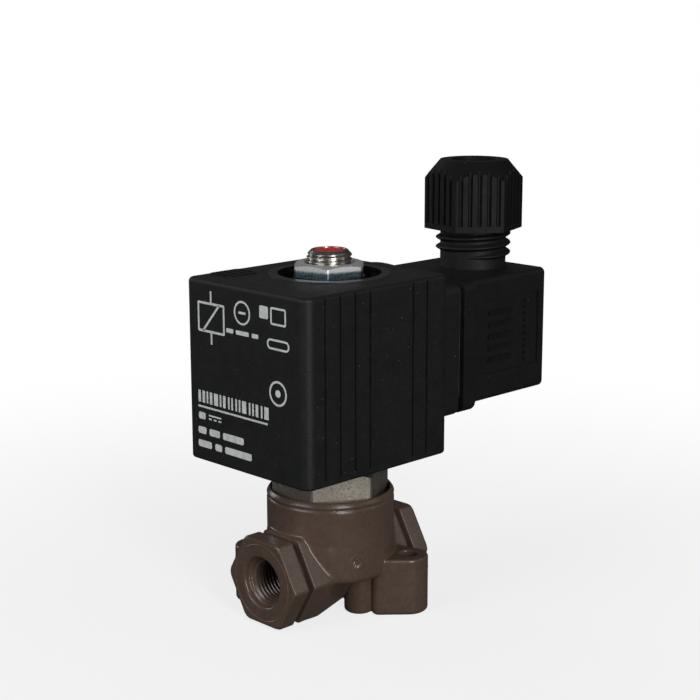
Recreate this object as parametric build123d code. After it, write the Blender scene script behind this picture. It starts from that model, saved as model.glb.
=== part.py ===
from build123d import *
import math
import os

# Direct-acting two-way solenoid valve: moulded body with two threaded ports and screw bosses,
# plated hex bonnet with guide tube, plunger and spring, moulded coil on the tube, and a square
# plug connector with a cable gland.
# Frame (mm): the valve axis is Z through X = Y = 0, Z = 0 is the underside of the foot,
# +X points at the outlet port and at the connector, -X at the inlet port.

# ---------------------------------------------------------------- body
PORT_Z = 10.0                 # height of the port axis above the foot
PORT_FACE_X = 20.3           # port face, both ends
PORT_AF = 18.4               # spanner size of the port hexagons
FLANGE_T = 4.2               # thickness of each hexagonal port flange
FLANGE_CHAMFER_R = 9.95      # radius of the turned chamfer on the port face
GROOVE_W = 1.4               # groove behind the flange
GROOVE_R = 7.3
NECK_HEX_END = 9.0           # where the second hexagon section starts to taper to the middle
BARREL_AF = 15.0             # width of the tapered barrel at the middle
THREAD_R = 4.86              # G 1/8 thread, nominal radius
THREAD_END_X = 10.6          # inner end of the threaded length
COUNTERBORE_R = 5.45
COUNTERBORE_D = 1.5
DRILL_R = 3.3                # drilled passage behind the thread
BODY_R = 13.85               # upright round body
BODY_LOW_Z = 9.0             # underside of the round body
SHOULDER_R = 14.05           # fuller lower part of the round body beside each port
SHOULDER_Z = 17.3
SHOULDER_HALF_Y = 10.2
RIM_LOW_Z = 25.6             # V-groove under the rim of the collar
RIM_TOP_Z = 27.3
RIM_IN_R = 12.95
COLLAR_FLOOR_Z = 25.0        # floor of the recess that holds the bonnet
SEAL_Z = 24.2                # middle of the sealing ring under the bonnet
CHAMBER_R = 8.0
CHAMBER_Z = 12.8
BONNET_BORE_R = 9.0
BONNET_BORE_Z = 16.8
BOLT_PCD = 34.3              # two fixing screws on a circle round the valve axis
BOLT_ANGLE = -56.0
BOLT_HOLE_R = 2.0
BOSS_R = 4.4
BOSS_TOP_Z = 12.65
PAD_R = 3.25                 # round pad of the foot beside each boss
PAD_AT = (1.5, -7.3)

# ---------------------------------------------------------------- bonnet, tube and core
BONNET_AF = 22.4
BONNET_CLIP_R = 12.8
BONNET_TOP_Z = 32.8
BONNET_ANGLE = -1.6          # how far the hexagon is turned from square
SHOULDER_DISC_R = 9.6
TUBE_R = 6.5
TUBE_IN_R = 5.55
TUBE_LOW_Z = 17.8
TUBE_TOP_Z = 70.0
CORE_LOW_Z = 52.4
STROKE = 1.8                 # air gap between plunger and fixed core
STUD_R = 4.8                 # M10 fine-thread stud
STUD_TOP_Z = 79.0
STUD_CHAMFER = 1.05
PLUNGER_R = 5.45
SEAT_Z = 14.0                # top of the orifice nozzle
INSERT_R = 3.0               # pressed-in orifice insert
FIT_GAP = 0.02               # clearance between pieces that stay together
SPRING_R = 2.45              # mean radius
SPRING_WIRE = 0.6            # wire diameter
SPRING_BORE_R = 3.1
SPRING_LOW_Z = 42.4
SPRING_TURNS = 7

# ---------------------------------------------------------------- coil
COIL_X = (-24.1, 17.4)
COIL_HALF_Y = 18.65
COIL_Z = (34.8, 73.8)
COIL_CORNER_R = 2.2
COIL_TOP_R = 0.9
COIL_LOW_R = 0.6
RING_R = 13.05               # raised ring on the coil top
RING_H = 0.25
RECESS_R = 11.0
RECESS_Z = 71.6
SEAT_FACE_Z = 72.45          # face the washer clamps on
SEAT_FACE_R = 8.3
FLUTE_PITCH = 4.2            # upright grooves on the two long sides
FLUTE_FIRST_X = -19.15
FLUTE_STEPS = (0, 1, 2, 3, 6, 7)
FLUTE_Z = (36.2, 73.3)
FLUTE_W = 0.5
FLUTE_D = 0.35
RUN = 0.08                   # running clearance of the coil on the guide tube
WINDING_R = 14.6
BOBBIN_R = 15.3
WINDOW_Z = (38.9, 68.5)      # space between the yoke plates
YOKE_T = 2.4
YOKE_HALF_Y = 11.0
YOKE_X = (-21.4, 9.0)

# ---------------------------------------------------------------- washer and nut on the stud
WASHER_R = 7.55
WASHER_Z = (72.55, 73.4)
NUT_AF = 14.2
NUT_Z = (73.5, 76.3)
NUT_ANGLE = -17.2            # direction of one corner
NUT_FIT = 0.06
NUT_CORNER_R = 0.8

# ---------------------------------------------------------------- connector
PEDESTAL_X = 26.75           # face of the coil's plug base
PEDESTAL_HALF_Y = 13.3
PEDESTAL_Z = (40.2, 69.9)
PLUG_Z = (42.2, 70.2)
PLUG_MID_Z = 56.4
PLUG_HALF_Y = 13.75
SKIRT_X = (27.2, 31.7)       # wider rim at the connector's mouth
SKIRT_HALF_Y = 14.1
SKIRT_LOW_Z = 40.6
PLUG_END_X = 55.9
PLUG_WALL = 1.9
PANEL_X = (33.6, 53.2)       # shallow panel on each side face
PANEL_Z = (48.2, 65.0)
PANEL_D = 0.35
GLAND_X = 45.9
NECK_R = 7.55
NECK_BORE_R = 5.6
NECK_TOP_Z = 85.8
GLAND_AF = 19.8
GLAND_Z = (79.0, 94.7)
GLAND_CONE_Z = 90.8
GLAND_RING_R = 7.75
GLAND_HOLE_R = 5.15
GLAND_CAVITY_R = 8.75
GLAND_CAVITY_TOP_Z = 88.3
GLAND_ANGLE = -10.8          # how far the hexagon is turned from square
GRIP_LOW_Z = GLAND_Z[0] + 1.4 # plain hexagon below the grip grooves
GRIP_PITCH = 2.13
GRIP_W = 1.0
GRIP_D = 0.7
GROMMET_BORE_R = 3.6

MIN = (Align.CENTER, Align.CENTER, Align.MIN)


def cyl(radius, z0, z1, x=0.0, y=0.0):
    """Upright cylinder between two heights."""
    return Pos(x, y, z0) * Cylinder(radius, z1 - z0, align=MIN)


def ring(r_in, r_out, z0, z1, x=0.0, y=0.0):
    return cyl(r_out, z0, z1, x, y) - cyl(r_in, z0 - 1, z1 + 1, x, y)


def box(x0, x1, y0, y1, z0, z1):
    centre = ((x0 + x1) / 2, (y0 + y1) / 2, (z0 + z1) / 2)
    return Pos(*centre) * Box(x1 - x0, y1 - y0, z1 - z0)


def rod_x(radius, x0, x1, y=0.0, z=0.0):
    """Cylinder along X between two stations."""
    turned = Rot(0, 90, 0) * Cylinder(radius, x1 - x0)
    return Pos((x0 + x1) / 2, y, z) * turned


def hexagon(across_flats, z0, z1, angle=0.0, x=0.0, y=0.0):
    """Upright hexagonal prism with one corner in direction angle."""
    outline = RegularPolygon(across_flats / math.sqrt(3), 6, major_radius=True, rotation=angle)
    return Pos(x, y, z0) * extrude(outline, z1 - z0)


def cone_cap(r_top, z_top, slope_deg, z0, x=0.0, y=0.0):
    """Cone that trims a hexagon's top corners: r_top at z_top, wider downwards."""
    drop = z_top - z0
    r_low = r_top + drop / math.tan(math.radians(slope_deg))
    return Pos(x, y, z0) * Cone(r_low, r_top, drop, align=MIN)


def port_section(x, across_flats):
    """Hexagonal outline across X with flats at top and bottom, corners slightly rounded."""
    outline = RegularPolygon(across_flats / math.sqrt(3), 6, major_radius=True)
    outline = fillet(outline.vertices(), 0.5)
    return Pos(x, 0, PORT_Z) * (Plane.YZ * outline)


def port_hexagon(x0, x1):
    return extrude(port_section(x0, PORT_AF), x1 - x0)


def port_side(sign):
    """One port: flange, groove, second hexagon and the barrel that tapers to the middle."""
    rear = PORT_FACE_X - FLANGE_T
    flange = port_hexagon(rear, PORT_FACE_X)
    trim_len = 2.0
    trim_low = FLANGE_CHAMFER_R + trim_len / math.tan(math.radians(30))
    trim = Rot(0, 90, 0) * Cone(trim_low, FLANGE_CHAMFER_R, trim_len, align=MIN)
    trim = Pos(PORT_FACE_X - trim_len, 0, PORT_Z) * trim
    trim += rod_x(trim_low, rear, PORT_FACE_X - trim_len, z=PORT_Z)
    flange = flange & trim
    neck = rod_x(GROOVE_R, rear - GROOVE_W - 0.5, rear + 0.5, z=PORT_Z)
    section = port_hexagon(NECK_HEX_END, rear - GROOVE_W)
    barrel = loft([port_section(0, BARREL_AF), port_section(NECK_HEX_END + 0.01, PORT_AF)], ruled=True)
    side = flange + neck + section + barrel
    return side if sign > 0 else Rot(0, 0, 180) * side


def port_passages(sign):
    bore = rod_x(THREAD_R, THREAD_END_X, PORT_FACE_X + 1, z=PORT_Z)
    lead_in = rod_x(COUNTERBORE_R, PORT_FACE_X - COUNTERBORE_D, PORT_FACE_X + 1, z=PORT_Z)
    mouth = Rot(0, 90, 0) * Cone(COUNTERBORE_R - 0.05, COUNTERBORE_R + 0.35, 0.4, align=MIN)
    mouth = Pos(PORT_FACE_X - 0.39, 0, PORT_Z) * mouth
    cut = bore + lead_in + mouth
    return cut if sign > 0 else Rot(0, 0, 180) * cut


def bolt_positions():
    reach = BOLT_PCD / 2
    for turn in (0, 180):
        a = math.radians(BOLT_ANGLE + turn)
        yield reach * math.cos(a), reach * math.sin(a)


def hull_of_discs(discs):
    """Outline wrapped tightly round a list of (x, y, radius) discs."""
    faces = [Pos(x, y) * Circle(r) for x, y, r in discs]
    edges = []
    for face in faces:
        edges += face.edges()
    return make_face(make_hull(edges))


def foot():
    """Two screw bosses, each with a round pad beside it, point-symmetric about the axis."""
    bx, by = next(iter(bolt_positions()))
    lug = extrude(hull_of_discs([(bx, by, BOSS_R), (3.0, -11.9, 1.6), (8.6, -6.0, 2.5)]), BOSS_TOP_Z)
    rim = lug.faces().sort_by(Axis.Z)[-1].edges()
    lug = fillet(rim, 0.45)
    low = lug.faces().sort_by(Axis.Z)[0].edges()
    lug = chamfer(low, 0.5)
    pad = cyl(PAD_R, 0, BODY_LOW_Z + 2, *PAD_AT)
    pad = chamfer(pad.faces().sort_by(Axis.Z)[0].edges(), 0.5)
    half = lug + pad
    return half + Rot(0, 0, 180) * half


def turned_body(low_r, low_top_z):
    """Turned outer form of the upright body with the rim of its collar."""
    profile = Polyline(
        (0, BODY_LOW_Z),
        (BODY_R - 1.2, BODY_LOW_Z),
        (BODY_R - 0.35, BODY_LOW_Z + 0.35),
        (low_r, BODY_LOW_Z + 1.2),
        (low_r, low_top_z - 0.15),
        (low_r - 0.1, low_top_z),
        (BODY_R, low_top_z + 0.05),
        (BODY_R, RIM_LOW_Z - 0.3),
        (BODY_R - 0.4, RIM_LOW_Z),
        (BODY_R + 0.05, RIM_LOW_Z + 0.35),
        (BODY_R, RIM_LOW_Z + 0.75),
        (RIM_IN_R + 0.35, RIM_TOP_Z - 0.1),
        (RIM_IN_R, RIM_TOP_Z),
        (0, RIM_TOP_Z),
        close=True,
    )
    return revolve(make_face(Plane.XZ * profile), Axis.Z)


def round_body():
    """Upright body, with the fuller shoulder only in the two sectors beside the ports."""
    plain = turned_body(BODY_R + 0.01, SHOULDER_Z)
    fuller = turned_body(SHOULDER_R, SHOULDER_Z)
    reach = SHOULDER_R + 1
    return plain + (fuller & box(-reach, reach, -SHOULDER_HALF_Y, SHOULDER_HALF_Y, 0, SHOULDER_Z + 0.2))


def valve_body():
    body = round_body() + foot()
    for sign in (-1, 1):
        body += port_side(sign)
    body -= cyl(RIM_IN_R, COLLAR_FLOOR_Z, RIM_TOP_Z + 1)
    body -= cyl(BONNET_BORE_R, BONNET_BORE_Z, COLLAR_FLOOR_Z + 1)
    body -= cyl(CHAMBER_R, CHAMBER_Z, BONNET_BORE_Z + 1)
    body -= ring(9.7, 11.4, SEAL_Z - 0.85, COLLAR_FLOOR_Z + 1)
    for sign in (-1, 1):
        body -= port_passages(sign)
    # inlet: drilled in to X = -7, then up into the chamber beside the seat
    body -= rod_x(DRILL_R, -THREAD_END_X - 0.5, -4.4, z=PORT_Z)
    body -= cyl(1.3, PORT_Z, CHAMBER_Z + 1, x=-5.8)
    # outlet: drilled in to the middle, then up to the orifice insert
    body -= rod_x(2.2, -1.4, THREAD_END_X + 0.5, z=PORT_Z)
    body -= cyl(INSERT_R + FIT_GAP, PORT_Z + 1.6, CHAMBER_Z + 1)
    body -= cyl(1.5, PORT_Z, PORT_Z + 2)
    for x, y in bolt_positions():
        body -= cyl(BOLT_HOLE_R, -1, BOSS_TOP_Z + 1, x, y)
    return body


def orifice_seat():
    low = PORT_Z + 1.6
    insert = cyl(INSERT_R, low, CHAMBER_Z + 0.3) + cyl(1.9, CHAMBER_Z, SEAT_Z)
    rim = insert.edges().filter_by(GeomType.CIRCLE).sort_by(Axis.Z)[-1]
    insert = chamfer(rim, 0.35)
    return insert - cyl(0.9, low - 1, SEAT_Z + 1)


def body_seal():
    return Pos(0, 0, SEAL_Z) * Torus(10.55, 0.8)


def bonnet():
    """Hexagon with its threaded shank, plain shoulder and bore for the guide tube."""
    hexa = hexagon(BONNET_AF, COLLAR_FLOOR_Z + 0.05, BONNET_TOP_Z, 30 + BONNET_ANGLE)
    hexa = hexa & cyl(BONNET_CLIP_R, COLLAR_FLOOR_Z, BONNET_TOP_Z)
    hexa = hexa & cone_cap(BONNET_AF / 2 - 0.35, BONNET_TOP_Z, 32, COLLAR_FLOOR_Z - 1)
    shank = cyl(BONNET_BORE_R - FIT_GAP, BONNET_BORE_Z + 0.4, COLLAR_FLOOR_Z + 0.2)
    collar = cyl(SHOULDER_DISC_R, BONNET_TOP_Z - 0.1, COIL_Z[0] - 1.0)
    return hexa + shank + collar - cyl(TUBE_R + FIT_GAP, 0, 60)


def coil_seal():
    """Flat rubber ring between bonnet and coil, clear of the coil by a running gap."""
    return ring(TUBE_R + 0.1, 8.9, COIL_Z[0] - 1.0, COIL_Z[0] - 0.12)


def guide_tube():
    return ring(TUBE_IN_R, TUBE_R, TUBE_LOW_Z, TUBE_TOP_Z)


def fixed_core():
    """Fixed core closing the tube, with the threaded stud in one piece with it."""
    core = cyl(TUBE_IN_R - 0.02, CORE_LOW_Z, TUBE_TOP_Z)
    core += cyl(TUBE_R, TUBE_TOP_Z, TUBE_TOP_Z + 0.8)
    core += cyl(STUD_R, TUBE_TOP_Z + 0.8, STUD_TOP_Z)
    core -= cyl(SPRING_BORE_R, CORE_LOW_Z - 1, CORE_LOW_Z + 4)
    top = core.edges().filter_by(GeomType.CIRCLE).sort_by(Axis.Z)[-1]
    core = chamfer(top, STUD_CHAMFER)
    return core - cyl(3.45, STUD_TOP_Z - 0.8, STUD_TOP_Z + 1)


def stud_mark():
    """Paint filling in the end of the stud, dished in the middle."""
    disc = cyl(3.45, STUD_TOP_Z - 0.8, STUD_TOP_Z - 0.15)
    dish = Pos(0, 0, STUD_TOP_Z + 7.5) * Sphere(7.85)
    return disc - dish


def plunger():
    low = SEAT_Z + 0.45
    top = CORE_LOW_Z - STROKE
    body = cyl(PLUNGER_R, low, top)
    body = chamfer(body.edges().filter_by(GeomType.CIRCLE), 0.4)
    body -= cyl(SPRING_BORE_R, SPRING_LOW_Z, top + 1)
    body -= cyl(3.05, low - 1, low + 1.5)
    for turn in (0, 90, 180, 270):
        slot = Rot(0, 0, turn) * box(PLUNGER_R - 0.6, PLUNGER_R + 1, -0.6, 0.6, low - 1, top + 1)
        body -= slot
    return body


def plunger_seal():
    low = SEAT_Z + 0.02
    return cyl(3.0, low, SEAT_Z + 0.45 + 1.5)


def plunger_spring():
    """Helical return spring, between the plunger's bore and the core's bore."""
    height = CORE_LOW_Z + 4 - SPRING_LOW_Z - SPRING_WIRE
    pitch = height / SPRING_TURNS
    path = Helix(pitch, height, SPRING_R)
    start = Plane(origin=path @ 0, z_dir=path % 0)
    wire = sweep(start * Circle(SPRING_WIRE / 2), path, is_frenet=True)
    return Pos(0, 0, SPRING_LOW_Z + SPRING_WIRE / 2) * wire


def top_washer():
    plain = ring(5.1, WASHER_R, *WASHER_Z)
    outer = plain.edges().filter_by(GeomType.CIRCLE).sort_by(SortBy.RADIUS)[-2:]
    return chamfer(outer, 0.12)


def top_nut():
    low, top = NUT_Z
    outline = RegularPolygon(NUT_AF / math.sqrt(3), 6, major_radius=True, rotation=NUT_ANGLE)
    outline = fillet(outline.vertices(), NUT_CORNER_R)
    nut = Pos(0, 0, low) * extrude(outline, top - low)
    nut = nut & cone_cap(NUT_AF / 2 - 0.35, top, 22, low - 1)
    nut -= cyl(STUD_R + NUT_FIT, low - 1, top + 1)
    mouth = Pos(0, 0, top - 0.55) * Cone(STUD_R, STUD_R + 0.65, 0.6, align=MIN)
    return nut - mouth


def yoke_solid(grow=0.0):
    """Bent steel frame round the winding: lower plate, side leg and upper plate."""
    x0, x1 = YOKE_X
    z0, z1 = WINDOW_Z
    half = YOKE_HALF_Y
    frame = box(x0, x1, -half, half, z0 - YOKE_T, z0)
    frame += box(x0, x1, -half, half, z1, z1 + YOKE_T)
    frame += box(x0, x0 + YOKE_T, -half, half, z0 - YOKE_T, z1 + YOKE_T)
    corner = frame.edges().filter_by(Axis.Y).filter_by_position(Axis.X, x0 - 0.1, x0 + 0.1)
    frame = fillet(corner, 1.2)
    return frame - cyl(TUBE_R + RUN + 0.1, 0, 90)


def terminal_blades():
    """Two flat power contacts, side by side across the plug."""
    blades = []
    for side in (-1, 1):
        y = 9.0 * side
        blade = box(17.5, 34.0, y - 0.4, y + 0.4, PLUG_MID_Z - 3.15, PLUG_MID_Z + 3.15)
        tip = blade.edges().filter_by(Axis.Y).sort_by(Axis.X)[-2:]
        blades.append(chamfer(tip, 1.2))
    return blades


def earth_blade():
    z = PLUG_MID_Z - 9.0
    blade = box(17.5, 34.0, -3.15, 3.15, z - 0.4, z + 0.4)
    tip = blade.edges().filter_by(Axis.Z).sort_by(Axis.X)[-2:]
    return chamfer(tip, 1.2)


def screw_insert():
    """Threaded brass insert for the connector's fixing screw."""
    return rod_x(2.3, 20.0, PEDESTAL_X, z=PLUG_MID_Z) - rod_x(1.56, 19.0, 27.0, z=PLUG_MID_Z)


def coil_housing():
    """Moulded cover of the coil with the plug base on its +X side."""
    x0, x1 = COIL_X
    z0, z1 = COIL_Z
    cover = box(x0, x1, -COIL_HALF_Y, COIL_HALF_Y, z0, z1)
    cover = fillet(cover.edges().filter_by(Axis.Z), COIL_CORNER_R)
    cover = fillet(cover.faces().sort_by(Axis.Z)[-1].edges(), COIL_TOP_R)
    cover = fillet(cover.faces().sort_by(Axis.Z)[0].edges(), COIL_LOW_R)
    for step in FLUTE_STEPS:
        x = FLUTE_FIRST_X + FLUTE_PITCH * step
        for side in (-1, 1):
            y0 = side * (COIL_HALF_Y - FLUTE_D)
            y1 = side * (COIL_HALF_Y + 1)
            cover -= box(x - FLUTE_W / 2, x + FLUTE_W / 2, min(y0, y1), max(y0, y1), *FLUTE_Z)
    base = box(x1 - 3, PEDESTAL_X, -PEDESTAL_HALF_Y, PEDESTAL_HALF_Y, *PEDESTAL_Z)
    base = fillet(base.edges().filter_by(Axis.X), 2.2)
    base = fillet(base.faces().sort_by(Axis.X)[-1].edges(), 0.4)
    cover += base
    cover += cyl(RING_R, z1 - 1, z1 + RING_H)
    cover -= ring(SEAT_FACE_R, RECESS_R, RECESS_Z, z1 + 2)
    cover -= cyl(SEAT_FACE_R + 0.1, SEAT_FACE_Z, z1 + 2)
    cover -= cyl(TUBE_R + RUN + 0.1, 0, 90)
    cover -= cyl(BOBBIN_R + 0.1, *WINDOW_Z)
    cover -= yoke_solid()
    for blade in terminal_blades():
        cover -= blade
    cover -= earth_blade()
    cover -= rod_x(2.3, 20.0, PEDESTAL_X + 1, z=PLUG_MID_Z)
    return cover


def coil_bobbin():
    z0, z1 = WINDOW_Z
    spool = cyl(7.6, z0, z1)
    spool += cyl(BOBBIN_R, z0, z0 + 1.1) + cyl(BOBBIN_R, z1 - 1.1, z1)
    return spool - cyl(TUBE_R + RUN, 0, 90)


def coil_winding():
    z0, z1 = WINDOW_Z
    return ring(7.62, WINDING_R, z0 + 1.12, z1 - 1.12)


def connector_gasket():
    """Flat square gasket between plug base and connector."""
    outer = box(PEDESTAL_X, SKIRT_X[0], -12.9, 12.9, PLUG_MID_Z - 13.2, PLUG_MID_Z + 12.9)
    outer = fillet(outer.edges().filter_by(Axis.X), 1.6)
    inner = box(PEDESTAL_X - 1, SKIRT_X[0] + 1, -11.2, 11.2, PLUG_MID_Z - 11.2, PLUG_MID_Z + 11.2)
    return outer - fillet(inner.edges().filter_by(Axis.X), 1.2)


def plug_inside():
    """Hollow of the connector, open at its mouth."""
    w = PLUG_WALL
    hollow = box(
        SKIRT_X[0] - 1, PLUG_END_X - 3.2, -PLUG_HALF_Y + w, PLUG_HALF_Y - w, PLUG_Z[0] + w, PLUG_Z[1] - w
    )
    return fillet(hollow.edges().filter_by(Axis.X), 1.0)


def connector_housing():
    z0, z1 = PLUG_Z
    s0, s1 = SKIRT_X
    shell = box(s1 - 1, PLUG_END_X, -PLUG_HALF_Y, PLUG_HALF_Y, z0, z1)
    shell = fillet(shell.edges().filter_by(Axis.X), 1.3)
    shell = fillet(shell.faces().sort_by(Axis.X)[-1].edges(), 1.1)
    skirt = box(s0, s1, -SKIRT_HALF_Y, SKIRT_HALF_Y, SKIRT_LOW_Z, z1)
    skirt = fillet(skirt.edges().filter_by(Axis.X), 2.2)
    skirt = fillet(skirt.faces().sort_by(Axis.X)[-1].edges(), 0.7)
    shell += skirt
    shell += cyl(NECK_R, z1 - 1, NECK_TOP_Z, x=GLAND_X)
    for side in (-1, 1):
        y0 = side * (PLUG_HALF_Y - PANEL_D)
        y1 = side * (PLUG_HALF_Y + 1)
        panel = box(*PANEL_X, min(y0, y1), max(y0, y1), *PANEL_Z)
        corner = panel.edges().filter_by(Axis.Y).sort_by(Axis.X)[:2]
        shell -= fillet(corner, 1.6)
    shell -= plug_inside()
    shell -= cyl(NECK_BORE_R, z1 - 5, NECK_TOP_Z + 1, x=GLAND_X)
    shell -= rod_x(1.7, SKIRT_X[0], PLUG_END_X + 1, z=PLUG_MID_Z)
    shell -= rod_x(3.6, PLUG_END_X - 2.3, PLUG_END_X + 1, z=PLUG_MID_Z)
    return shell


def terminal_block():
    """Insulating carrier inside the connector, with a pocket for each contact."""
    block = box(28.4, 43.0, -11.4, 11.4, PLUG_MID_Z - 11.4, PLUG_MID_Z + 9.4)
    block = fillet(block.edges().filter_by(Axis.X), 1.2)
    for y, z, half_y, half_z in contact_places():
        wide, high = half_y + 0.1, half_z + 0.1
        block -= box(27.0, 40.6, y - wide, y + wide, z - high, z + high)
    block -= rod_x(1.7, 27, 45, z=PLUG_MID_Z)
    for y, z, top in screw_places():
        block -= cyl(1.55, z, top + 8, x=38.2, y=y)
    return block


def contact_places():
    """Centre and half size across Y and Z of each contact clip."""
    yield -9.0, PLUG_MID_Z, 1.5, 3.6
    yield 9.0, PLUG_MID_Z, 1.5, 3.6
    yield 0.0, PLUG_MID_Z - 9.0, 3.6, 1.5


def screw_places():
    """Y, lower and upper height of each terminal screw."""
    yield -9.0, PLUG_MID_Z + 1.5, PLUG_MID_Z + 6.4
    yield 9.0, PLUG_MID_Z + 1.5, PLUG_MID_Z + 6.4


def contact_clips():
    """Box-shaped brass clips that grip the blades."""
    clips = []
    for y, z, half_y, half_z in contact_places():
        clip = box(28.6, 40.4, y - half_y, y + half_y, z - half_z, z + half_z)
        slot_y = 0.45 if half_y < half_z else 3.2
        slot_z = 3.2 if half_y < half_z else 0.45
        clip -= box(28.0, 35.0, y - slot_y, y + slot_y, z - slot_z, z + slot_z)
        if half_y < half_z:
            clip -= cyl(1.05, z, z + 9, x=38.2, y=y)
        clips.append(clip)
    return clips


def terminal_screws():
    """Slotted screws that clamp the cores in the contact clips."""
    screws = []
    for y, low, top in screw_places():
        screw = cyl(1.04, low, top - 1.2, x=38.2, y=y) + cyl(1.5, top - 1.2, top, x=38.2, y=y)
        screw -= box(36.0, 40.0, y - 0.25, y + 0.25, top - 0.6, top + 1)
        screws.append(screw)
    return screws


def fixing_screw():
    """Long cheese-head screw through the connector into the plug base."""
    head_x = PLUG_END_X - 0.35
    screw = rod_x(1.5, 22.0, head_x - 1.9, z=PLUG_MID_Z)
    screw += rod_x(2.9, head_x - 1.9, head_x, z=PLUG_MID_Z)
    slot = box(head_x - 0.8, head_x + 1, -3.5, 3.5, PLUG_MID_Z - 0.4, PLUG_MID_Z + 0.4)
    return screw - slot


def cable_grommet():
    """Rubber sleeve that the gland squeezes onto the cable."""
    sleeve = ring(GROMMET_BORE_R, NECK_BORE_R - 0.05, NECK_TOP_Z - 9.4, NECK_TOP_Z + 0.9, x=GLAND_X)
    return sleeve + ring(GROMMET_BORE_R, 6.6, NECK_TOP_Z + 0.05, NECK_TOP_Z + 0.9, x=GLAND_X)


def gland_washer():
    """Slip ring between gland nut and rubber sleeve; it rises with the nut."""
    return ring(GROMMET_BORE_R + 0.6, 8.2, NECK_TOP_Z + 1.3, NECK_TOP_Z + 2.1, x=GLAND_X)


def grip_grooves():
    """Round-bottomed upright grooves, five on each flat, that run out through the cone."""
    bottom = GLAND_AF / 2 - GRIP_D + GRIP_W / 2
    grooves = []
    for flat in range(6):
        for step in range(-2, 3):
            y = step * GRIP_PITCH
            groove = cyl(GRIP_W / 2, GRIP_LOW_Z, GLAND_Z[1] + 1, bottom, y)
            groove += box(bottom, GLAND_AF, y - GRIP_W / 2, y + GRIP_W / 2, GRIP_LOW_Z, GLAND_Z[1] + 1)
            grooves.append(Pos(GLAND_X, 0, 0) * Rot(0, 0, GLAND_ANGLE + 60 * flat) * groove)
    return grooves


def gland_nut():
    """Hexagonal gland nut with a coned top; the grip ribs are cut in its flats."""
    low, top = GLAND_Z
    corner = GLAND_ANGLE + 30
    outline = RegularPolygon(GLAND_AF / math.sqrt(3), 6, major_radius=True, rotation=corner)
    outline = fillet(outline.vertices(), 0.9)
    nut = Pos(GLAND_X, 0, low) * extrude(outline, top - low)
    slope = math.degrees(math.atan2(top - GLAND_CONE_Z, GLAND_AF / math.sqrt(3) - 0.4 - GLAND_RING_R))
    nut = nut & cone_cap(GLAND_RING_R, top, slope, low - 1, x=GLAND_X)
    nut -= cyl(GLAND_CAVITY_R, low - 1, GLAND_CAVITY_TOP_Z, x=GLAND_X)
    nut -= cyl(GLAND_HOLE_R, low, top + 1, x=GLAND_X)
    return nut - grip_grooves()


def write(name, solids):
    """One STEP file per node; a node with several separate solids is a compound."""
    shape = Compound(children=solids) if isinstance(solids, list) else solids
    export_step(shape, os.path.join("parts", name + ".step"))


NODES = {
    "valve_body": valve_body,
    "orifice_seat": orifice_seat,
    "body_seal": body_seal,
    "bonnet": bonnet,
    "guide_tube": guide_tube,
    "fixed_core": fixed_core,
    "stud_mark": stud_mark,
    "coil_seal": coil_seal,
    "plunger": plunger,
    "plunger_seal": plunger_seal,
    "plunger_spring": plunger_spring,
    "top_washer": top_washer,
    "top_nut": top_nut,
    "coil_housing": coil_housing,
    "coil_bobbin": coil_bobbin,
    "coil_winding": coil_winding,
    "yoke_frame": yoke_solid,
    "power_blades": terminal_blades,
    "earth_blade": earth_blade,
    "screw_insert": screw_insert,
    "connector_gasket": connector_gasket,
    "connector_housing": connector_housing,
    "terminal_block": terminal_block,
    "contact_clips": contact_clips,
    "terminal_screws": terminal_screws,
    "fixing_screw": fixing_screw,
    "cable_grommet": cable_grommet,
    "gland_washer": gland_washer,
    "gland_nut": gland_nut,
}

os.makedirs("parts", exist_ok=True)
for node_name, make in NODES.items():
    write(node_name, make())
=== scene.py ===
import math
import random

import bmesh
import bpy
import numpy as np
from mathutils import Matrix, Vector


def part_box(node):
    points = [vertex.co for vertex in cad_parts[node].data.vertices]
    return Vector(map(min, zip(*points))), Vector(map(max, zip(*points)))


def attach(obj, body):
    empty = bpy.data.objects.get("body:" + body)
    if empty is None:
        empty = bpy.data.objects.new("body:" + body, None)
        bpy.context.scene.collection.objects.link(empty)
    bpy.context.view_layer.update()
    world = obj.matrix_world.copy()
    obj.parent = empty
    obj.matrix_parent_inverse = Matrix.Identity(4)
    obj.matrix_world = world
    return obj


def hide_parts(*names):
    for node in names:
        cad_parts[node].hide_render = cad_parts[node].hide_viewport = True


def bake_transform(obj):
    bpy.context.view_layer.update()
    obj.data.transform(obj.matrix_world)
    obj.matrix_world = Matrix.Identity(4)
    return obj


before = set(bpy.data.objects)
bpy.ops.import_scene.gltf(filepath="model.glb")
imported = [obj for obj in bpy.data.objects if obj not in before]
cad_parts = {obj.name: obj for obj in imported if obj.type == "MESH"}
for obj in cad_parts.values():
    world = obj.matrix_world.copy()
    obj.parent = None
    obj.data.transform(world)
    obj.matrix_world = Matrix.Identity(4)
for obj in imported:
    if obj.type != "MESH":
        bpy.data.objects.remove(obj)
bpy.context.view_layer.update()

# Solenoid valve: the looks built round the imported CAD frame. Lengths are in metres, and a value
# written as N * MM is in millimetres. The valve axis is Z through X = Y = 0, the coil's printed
# face looks along -X, and the connector is on the +X side.

MM = 0.001
TURN = 2 * math.pi

# camera: where the photograph was taken from
VIEW_AZIMUTH = math.radians(-44.469)
VIEW_ELEVATION = math.radians(12.479)
VIEW_ROLL = math.radians(-0.121)
VIEW_DISTANCE = 334.955 * MM
VIEW_TARGET = Vector((3.085, -3.028, 57.169)) * MM
VIEW_LENS = 80.73

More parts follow.
